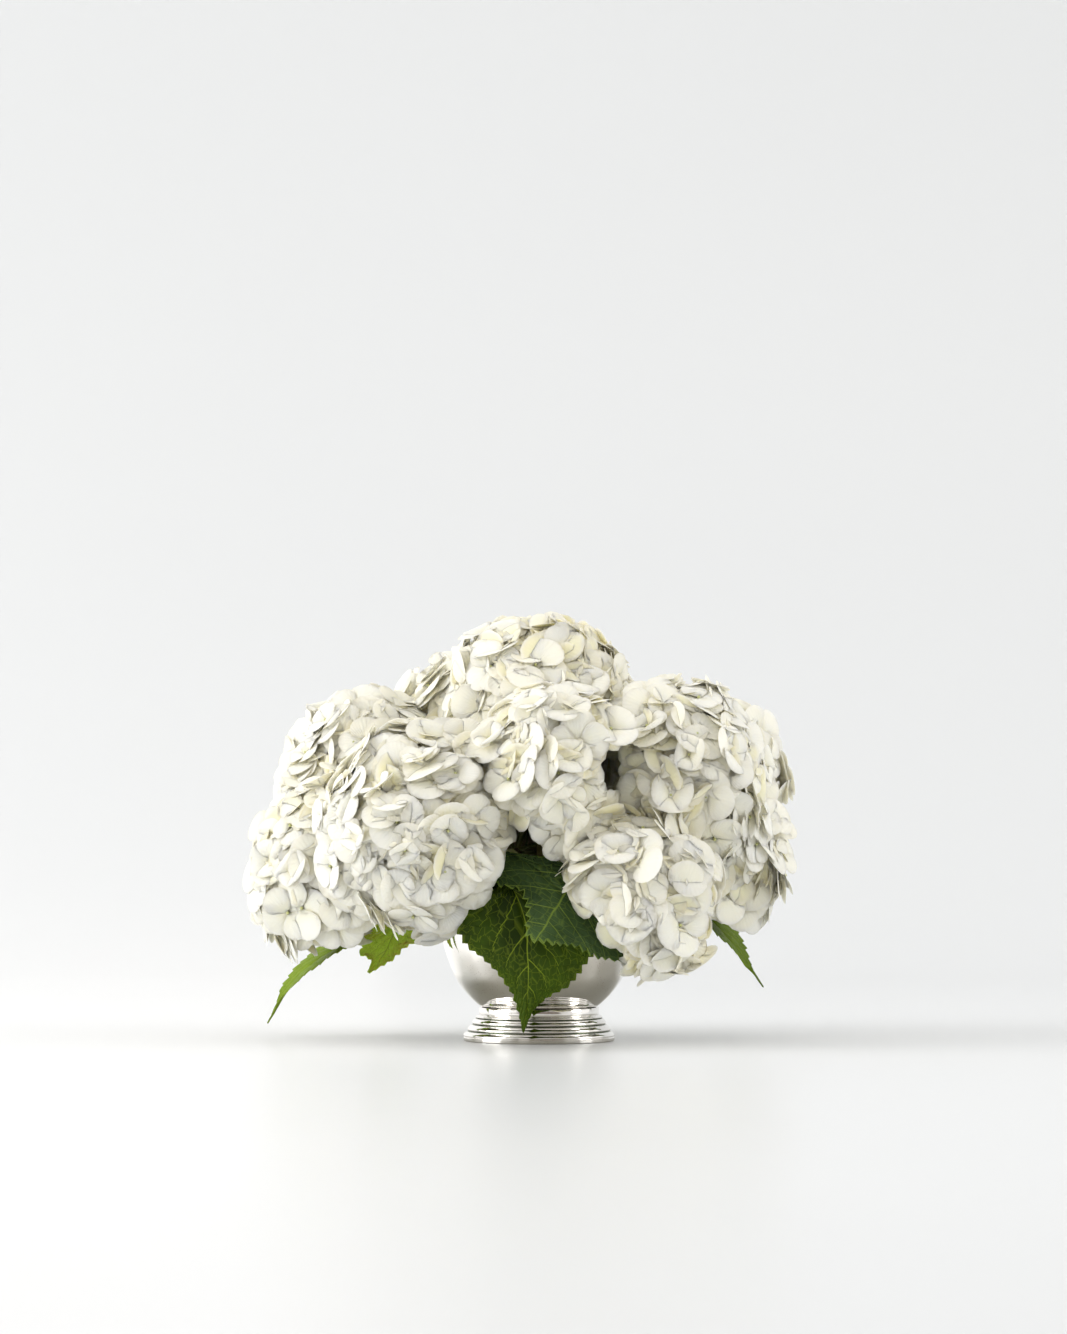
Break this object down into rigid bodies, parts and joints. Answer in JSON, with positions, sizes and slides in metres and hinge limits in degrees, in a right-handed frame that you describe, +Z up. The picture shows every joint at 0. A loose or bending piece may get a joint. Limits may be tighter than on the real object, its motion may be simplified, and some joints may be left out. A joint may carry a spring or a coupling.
{
  "type": "hydrangea arrangement in a footed bowl",
  "caption": "White mophead hydrangeas massed in a dome over a low footed silver bowl, with a few of their own leaves hanging over its rim.",
  "frame": {"origin": "middle of the foot's flat underside, on the surface that the bowl stands on", "axes": "+Z up, the front of the arrangement faces -Y, +X is its right-hand side seen from the front"},
  "size_m": [0.3847, 0.3141, 0.3017],
  "materials": {
    "silver": "spun and polished silver, bright, with faint wiping marks and fine pitting",
    "foam": "wet green flower foam, matte and finely porous",
    "stem": "green to brown woody stem with pale flecks, satin",
    "leaf": "mid-dark green leaf with lime net veins and toothed edge, soft waxy sheen",
    "leaf_dusky": "dusky bluish green leaf with pale edge and lime veins, soft waxy sheen",
    "leaf_pale": "pale yellow-green leaf with a dark midrib, lit through",
    "petal": "ivory-white petals, matte and slightly see-through, with a green tinge at the eye"
  },
  "bodies": {
    "root": {"foot": "silver", "bowl": "silver", "floral_foam": "foam", "stem_top": "stem", "stem_left_back": "stem", "stem_left_front": "stem", "stem_left_low": "stem", "stem_right": "stem", "stem_right_low": "stem", "stem_right_far": "stem", "stem_front": "stem", "stem_back": "stem", "stem_back_left": "stem", "stem_back_right": "stem", "leaf_front": "leaf", "leaf_front_upper": "leaf_dusky", "leaf_left_pale": "leaf_pale", "leaf_left_edge": "leaf", "leaf_right_edge": "leaf", "leaf_back_left": "leaf", "leaf_back": "leaf", "leaf_back_right": "leaf", "bloom_top": "petal", "bloom_left_back": "petal", "bloom_left_front": "petal", "bloom_left_low": "petal", "bloom_right": "petal", "bloom_right_low": "petal", "bloom_right_far": "petal", "bloom_front": "petal", "bloom_back": "petal", "bloom_back_left": "petal", "bloom_back_right": "petal"}
  },
  "joints": []
}
